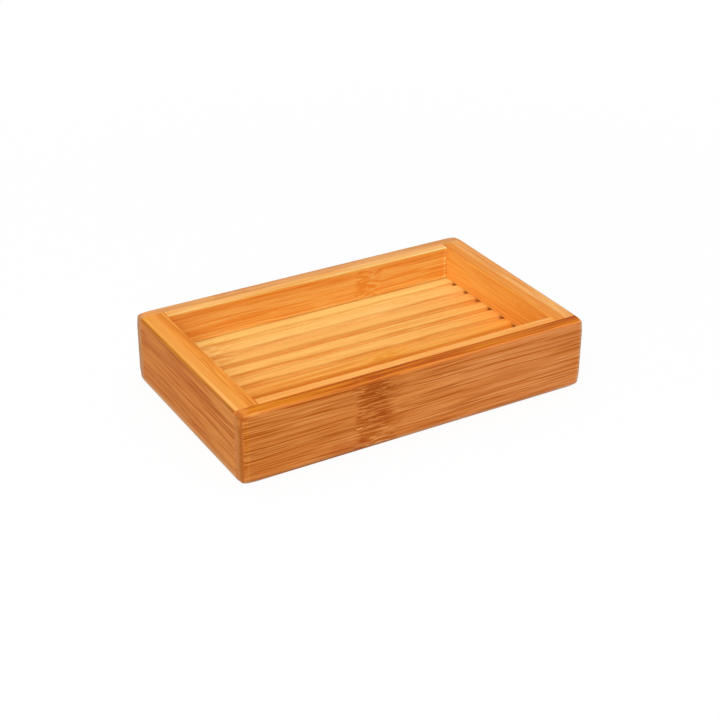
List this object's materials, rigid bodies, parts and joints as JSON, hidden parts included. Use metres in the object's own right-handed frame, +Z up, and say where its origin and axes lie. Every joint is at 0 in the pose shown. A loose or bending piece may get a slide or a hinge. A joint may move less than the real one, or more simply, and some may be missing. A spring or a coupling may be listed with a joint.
{
  "type": "soap dish",
  "caption": "Open rectangular bamboo soap dish: two-layer boards, rebated at the corners, round a ribbed floor let into a housing.",
  "frame": {"origin": "middle of the dish's footprint, on the surface that it stands on", "axes": "+X along the dish to its right end board, +Y to the back rail, +Z up"},
  "size_m": [0.13, 0.08, 0.025],
  "materials": {
    "rail_outer_bamboo": "carbonised bamboo, clear satin lacquer",
    "rail_inner_bamboo": "light bamboo, clear satin lacquer",
    "end_outer_bamboo": "bamboo, clear satin lacquer",
    "end_inner_bamboo": "bamboo, clear satin lacquer",
    "floor_bamboo": "light bamboo, clear satin lacquer"
  },
  "bodies": {
    "root": {"front_rail_outer": "rail_outer_bamboo", "front_rail_inner": "rail_inner_bamboo", "back_rail_outer": "rail_outer_bamboo", "back_rail_inner": "rail_inner_bamboo", "left_end_outer": "end_outer_bamboo", "left_end_inner": "end_inner_bamboo", "right_end_outer": "end_outer_bamboo", "right_end_inner": "end_inner_bamboo", "floor_strip_1": "floor_bamboo", "floor_strip_2": "floor_bamboo", "floor_strip_3": "floor_bamboo", "floor_strip_4": "floor_bamboo"}
  },
  "joints": []
}
